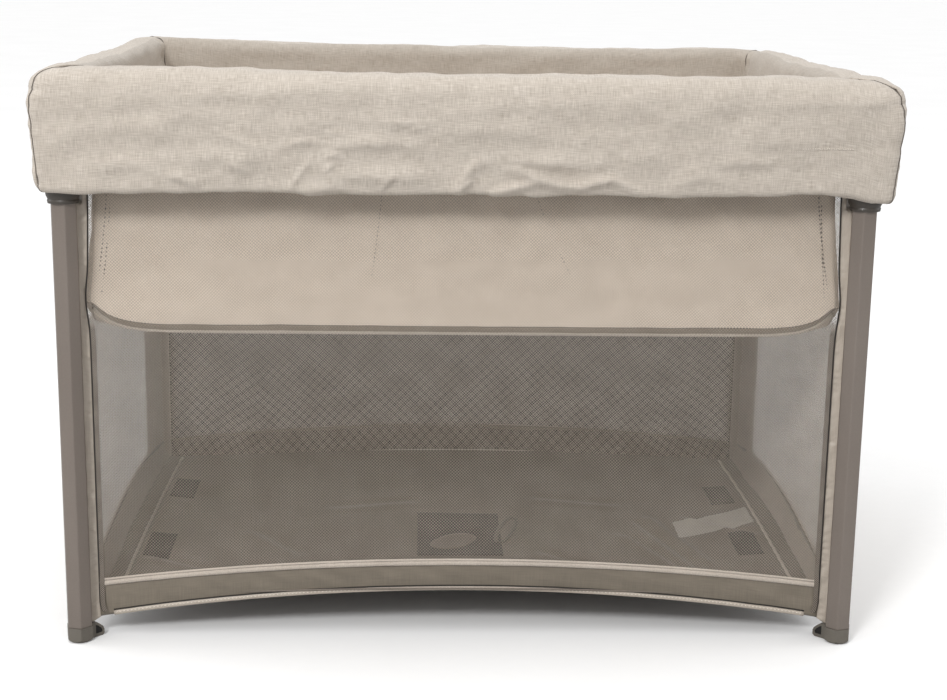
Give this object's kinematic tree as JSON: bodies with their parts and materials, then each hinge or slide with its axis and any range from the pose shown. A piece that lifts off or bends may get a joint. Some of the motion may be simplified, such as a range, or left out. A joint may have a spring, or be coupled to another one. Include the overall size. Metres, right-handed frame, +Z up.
{
  "type": "folding playpen",
  "caption": "Rectangular folding playpen with a padded fabric top rail, mesh walls, tube legs, a crossing-bar frame, and a hung fabric bassinet with a mattress.",
  "frame": {"origin": "on the ground in the middle of the playpen's outer box", "axes": "+X along the long side, the front long side at -Y, +Z up"},
  "size_m": [1.032, 0.748, 0.722],
  "materials": {
    "leg_tube": "satin powder coat",
    "foot_plastic": "fine moulded grain",
    "slider_plastic": "fine moulded grain",
    "bar_steel": "zinc plated",
    "rail_cloth": "melange plain weave",
    "mesh": "warp-knitted mesh",
    "satin_cloth": "satin weave",
    "bassinet_cloth": "plain weave",
    "floor_cloth": "coated plain weave",
    "mattress_cloth": "quilted cotton",
    "webbing": "woven webbing"
  },
  "bodies": {
    "front_left": {"front_left_leg": "leg_tube", "front_left_foot": "foot_plastic", "front_left_cap": "slider_plastic", "front_left_strip": "satin_cloth", "front_rail_cover": "rail_cloth", "front_mesh_wall": "mesh", "front_skirt": "satin_cloth", "bassinet_front_wall": "bassinet_cloth", "left_rail_cover": "rail_cloth", "left_mesh_wall": "mesh", "left_skirt": "satin_cloth", "bassinet_left_wall": "bassinet_cloth"},
    "front_right": {"front_right_leg": "leg_tube", "front_right_foot": "foot_plastic", "front_right_cap": "slider_plastic", "front_right_strip": "satin_cloth", "right_rail_cover": "rail_cloth", "right_mesh_wall": "mesh", "right_skirt": "satin_cloth", "bassinet_right_wall": "bassinet_cloth"},
    "back_left": {"back_left_leg": "leg_tube", "back_left_foot": "foot_plastic", "back_left_cap": "slider_plastic", "back_left_strip": "satin_cloth", "back_rail_cover": "rail_cloth", "back_mesh_wall": "mesh", "back_skirt": "satin_cloth", "bassinet_back_wall": "bassinet_cloth"},
    "back_right": {"back_right_leg": "leg_tube", "back_right_foot": "foot_plastic", "back_right_cap": "slider_plastic", "back_right_strip": "satin_cloth"},
    "front_falling_bar_1": {"front_falling_bar_1": "bar_steel"},
    "front_rising_bar_1": {"front_rising_bar_1": "bar_steel"},
    "front_left_slider": {"front_left_slider": "slider_plastic"},
    "front_falling_bar_2": {"front_falling_bar_2": "bar_steel"},
    "front_rising_bar_2": {"front_rising_bar_2": "bar_steel"},
    "front_falling_bar_3": {"front_falling_bar_3": "bar_steel"},
    "front_rising_bar_3": {"front_rising_bar_3": "bar_steel"},
    "front_right_slider": {"front_right_slider": "slider_plastic"},
    "left_falling_bar_1": {"left_falling_bar_1": "bar_steel"},
    "left_rising_bar_1": {"left_rising_bar_1": "bar_steel"},
    "left_falling_bar_2": {"left_falling_bar_2": "bar_steel"},
    "left_rising_bar_2": {"left_rising_bar_2": "bar_steel"},
    "back_left_slider": {"back_left_slider": "slider_plastic"},
    "right_falling_bar_1": {"right_falling_bar_1": "bar_steel"},
    "right_rising_bar_1": {"right_rising_bar_1": "bar_steel"},
    "right_falling_bar_2": {"right_falling_bar_2": "bar_steel"},
    "right_rising_bar_2": {"right_rising_bar_2": "bar_steel"},
    "back_right_slider": {"back_right_slider": "slider_plastic"},
    "back_falling_bar_1": {"back_falling_bar_1": "bar_steel"},
    "back_rising_bar_1": {"back_rising_bar_1": "bar_steel"},
    "back_falling_bar_2": {"back_falling_bar_2": "bar_steel"},
    "back_rising_bar_2": {"back_rising_bar_2": "bar_steel"},
    "back_falling_bar_3": {"back_falling_bar_3": "bar_steel"},
    "back_rising_bar_3": {"back_rising_bar_3": "bar_steel"},
    "floor": {"floor": "floor_cloth"},
    "floor_loop": {"floor_loop": "webbing"},
    "bassinet_base": {"bassinet_base": "bassinet_cloth"},
    "mattress": {"mattress": "mattress_cloth"}
  },
  "joints": [
    {"name": "frame_fold", "type": "hinge", "parent": "front_left", "child": "front_falling_bar_1", "pos_m": [-0.45, -0.335, 0.69], "axis": [0, 1, 0], "range_deg": [0, 64.3], "deforming": ["front_rail_cover", "front_mesh_wall", "front_skirt", "bassinet_front_wall", "left_rail_cover", "left_mesh_wall", "left_skirt", "bassinet_left_wall", "right_rail_cover", "right_mesh_wall", "right_skirt", "bassinet_right_wall", "back_rail_cover", "back_mesh_wall", "back_skirt", "bassinet_back_wall", "front_left_strip", "front_right_strip", "back_left_strip", "back_right_strip", "floor", "floor_loop", "bassinet_base", "mattress"]},
    {"name": "front_cross_1", "type": "hinge", "parent": "front_falling_bar_1", "child": "front_rising_bar_1", "pos_m": [-0.3, -0.335, 0.648], "axis": [0, 1, 0], "range_deg": [-129.6, 0]},
    {"name": "front_left_slide", "type": "hinge", "parent": "front_rising_bar_1", "child": "front_left_slider", "pos_m": [-0.45, -0.335, 0.606], "axis": [0, 1, 0], "range_deg": [0, 64.8]},
    {"name": "front_fall_2", "type": "hinge", "parent": "front_rising_bar_1", "child": "front_falling_bar_2", "pos_m": [-0.15, -0.335, 0.69], "axis": [0, 1, 0], "range_deg": [0, 129.6]},
    {"name": "front_cross_2", "type": "hinge", "parent": "front_falling_bar_2", "child": "front_rising_bar_2", "pos_m": [0, -0.335, 0.648], "axis": [0, 1, 0], "range_deg": [-129.6, 0]},
    {"name": "front_fall_3", "type": "hinge", "parent": "front_rising_bar_2", "child": "front_falling_bar_3", "pos_m": [0.15, -0.335, 0.69], "axis": [0, 1, 0], "range_deg": [0, 129.6]},
    {"name": "front_cross_3", "type": "hinge", "parent": "front_falling_bar_3", "child": "front_rising_bar_3", "pos_m": [0.3, -0.335, 0.648], "axis": [0, 1, 0], "range_deg": [-129.6, 0]},
    {"name": "front_right_slide", "type": "hinge", "parent": "front_falling_bar_3", "child": "front_right_slider", "pos_m": [0.45, -0.335, 0.606], "axis": [0, 1, 0], "range_deg": [-64.8, 0]},
    {"name": "front_right_leg_pivot", "type": "hinge", "parent": "front_rising_bar_3", "child": "front_right", "pos_m": [0.45, -0.335, 0.69], "axis": [0, 1, 0], "range_deg": [0, 64.8]},
    {"name": "left_fall_1", "type": "hinge", "parent": "front_left", "child": "left_falling_bar_1", "pos_m": [-0.485, -0.3, 0.69], "axis": [-1, 0, 0], "range_deg": [0, 64.8]},
    {"name": "left_cross_1", "type": "hinge", "parent": "left_falling_bar_1", "child": "left_rising_bar_1", "pos_m": [-0.485, -0.15, 0.648], "axis": [-1, 0, 0], "range_deg": [-129.6, 0]},
    {"name": "left_fall_2", "type": "hinge", "parent": "left_rising_bar_1", "child": "left_falling_bar_2", "pos_m": [-0.485, 0, 0.69], "axis": [-1, 0, 0], "range_deg": [0, 129.6]},
    {"name": "left_cross_2", "type": "hinge", "parent": "left_falling_bar_2", "child": "left_rising_bar_2", "pos_m": [-0.485, 0.15, 0.648], "axis": [-1, 0, 0], "range_deg": [-129.6, 0]},
    {"name": "back_left_slide", "type": "hinge", "parent": "left_falling_bar_2", "child": "back_left_slider", "pos_m": [-0.485, 0.3, 0.606], "axis": [-1, 0, 0], "range_deg": [-64.8, 0]},
    {"name": "back_left_leg_pivot", "type": "hinge", "parent": "left_rising_bar_2", "child": "back_left", "pos_m": [-0.485, 0.3, 0.69], "axis": [-1, 0, 0], "range_deg": [0, 64.8]},
    {"name": "right_fall_1", "type": "hinge", "parent": "front_right", "child": "right_falling_bar_1", "pos_m": [0.485, -0.3, 0.69], "axis": [-1, 0, 0], "range_deg": [0, 64.8]},
    {"name": "right_cross_1", "type": "hinge", "parent": "right_falling_bar_1", "child": "right_rising_bar_1", "pos_m": [0.485, -0.15, 0.648], "axis": [-1, 0, 0], "range_deg": [-129.6, 0]},
    {"name": "right_fall_2", "type": "hinge", "parent": "right_rising_bar_1", "child": "right_falling_bar_2", "pos_m": [0.485, 0, 0.69], "axis": [-1, 0, 0], "range_deg": [0, 129.6]},
    {"name": "right_cross_2", "type": "hinge", "parent": "right_falling_bar_2", "child": "right_rising_bar_2", "pos_m": [0.485, 0.15, 0.648], "axis": [-1, 0, 0], "range_deg": [-129.6, 0]},
    {"name": "back_right_slide", "type": "hinge", "parent": "right_falling_bar_2", "child": "back_right_slider", "pos_m": [0.485, 0.3, 0.606], "axis": [-1, 0, 0], "range_deg": [-64.8, 0]},
    {"name": "back_right_leg_pivot", "type": "hinge", "parent": "right_rising_bar_2", "child": "back_right", "pos_m": [0.485, 0.3, 0.69], "axis": [-1, 0, 0], "range_deg": [0, 64.8]},
    {"name": "back_fall_1", "type": "hinge", "parent": "back_left", "child": "back_falling_bar_1", "pos_m": [-0.45, 0.335, 0.69], "axis": [0, 1, 0], "range_deg": [0, 64.8]},
    {"name": "back_cross_1", "type": "hinge", "parent": "back_falling_bar_1", "child": "back_rising_bar_1", "pos_m": [-0.3, 0.335, 0.648], "axis": [0, 1, 0], "range_deg": [-129.6, 0]},
    {"name": "back_fall_2", "type": "hinge", "parent": "back_rising_bar_1", "child": "back_falling_bar_2", "pos_m": [-0.15, 0.335, 0.69], "axis": [0, 1, 0], "range_deg": [0, 129.6]},
    {"name": "back_cross_2", "type": "hinge", "parent": "back_falling_bar_2", "child": "back_rising_bar_2", "pos_m": [0, 0.335, 0.648], "axis": [0, 1, 0], "range_deg": [-129.6, 0]},
    {"name": "back_fall_3", "type": "hinge", "parent": "back_rising_bar_2", "child": "back_falling_bar_3", "pos_m": [0.15, 0.335, 0.69], "axis": [0, 1, 0], "range_deg": [0, 129.6]},
    {"name": "back_cross_3", "type": "hinge", "parent": "back_falling_bar_3", "child": "back_rising_bar_3", "pos_m": [0.3, 0.335, 0.648], "axis": [0, 1, 0], "range_deg": [-129.6, 0]},
    {"name": "floor_fold", "type": "hinge", "parent": "front_left", "child": "floor", "pos_m": [0, -0.3203, 0.053], "axis": [1, 0, 0], "range_deg": [0, 90.7]},
    {"name": "bassinet_fold", "type": "hinge", "parent": "front_left", "child": "bassinet_base", "pos_m": [0, -0.12, 0.25], "axis": [1, 0, 0], "range_deg": [0, 90.7]},
    {"name": "mattress_lift", "type": "slide", "parent": "bassinet_base", "child": "mattress", "axis": [0, 0, 1], "range_m": [0, 0.45]},
    {"name": "loop_lift", "type": "hinge", "parent": "floor", "child": "floor_loop", "pos_m": [0.073, -0.103, 0.0493], "axis": [1, 0, 0], "range_deg": [0, 90]}
  ],
  "couplings": [
    {"joint": "front_cross_1", "follows": "frame_fold", "ratio": -2},
    {"joint": "front_left_slide", "follows": "frame_fold", "ratio": 1},
    {"joint": "front_fall_2", "follows": "frame_fold", "ratio": 2},
    {"joint": "front_cross_2", "follows": "frame_fold", "ratio": -2},
    {"joint": "front_fall_3", "follows": "frame_fold", "ratio": 2},
    {"joint": "front_cross_3", "follows": "frame_fold", "ratio": -2},
    {"joint": "front_right_slide", "follows": "frame_fold", "ratio": -1},
    {"joint": "front_right_leg_pivot", "follows": "frame_fold", "ratio": 1},
    {"joint": "left_fall_1", "follows": "frame_fold", "ratio": 1},
    {"joint": "left_cross_1", "follows": "frame_fold", "ratio": -2},
    {"joint": "left_fall_2", "follows": "frame_fold", "ratio": 2},
    {"joint": "left_cross_2", "follows": "frame_fold", "ratio": -2},
    {"joint": "back_left_slide", "follows": "frame_fold", "ratio": -1},
    {"joint": "back_left_leg_pivot", "follows": "frame_fold", "ratio": 1},
    {"joint": "right_fall_1", "follows": "frame_fold", "ratio": 1},
    {"joint": "right_cross_1", "follows": "frame_fold", "ratio": -2},
    {"joint": "right_fall_2", "follows": "frame_fold", "ratio": 2},
    {"joint": "right_cross_2", "follows": "frame_fold", "ratio": -2},
    {"joint": "back_right_slide", "follows": "frame_fold", "ratio": -1},
    {"joint": "back_right_leg_pivot", "follows": "frame_fold", "ratio": 1},
    {"joint": "back_fall_1", "follows": "frame_fold", "ratio": 1},
    {"joint": "back_cross_1", "follows": "frame_fold", "ratio": -2},
    {"joint": "back_fall_2", "follows": "frame_fold", "ratio": 2},
    {"joint": "back_cross_2", "follows": "frame_fold", "ratio": -2},
    {"joint": "back_fall_3", "follows": "frame_fold", "ratio": 2},
    {"joint": "back_cross_3", "follows": "frame_fold", "ratio": -2},
    {"joint": "floor_fold", "follows": "frame_fold", "ratio": 1.3997},
    {"joint": "bassinet_fold", "follows": "frame_fold", "ratio": 1.3997}
  ]
}
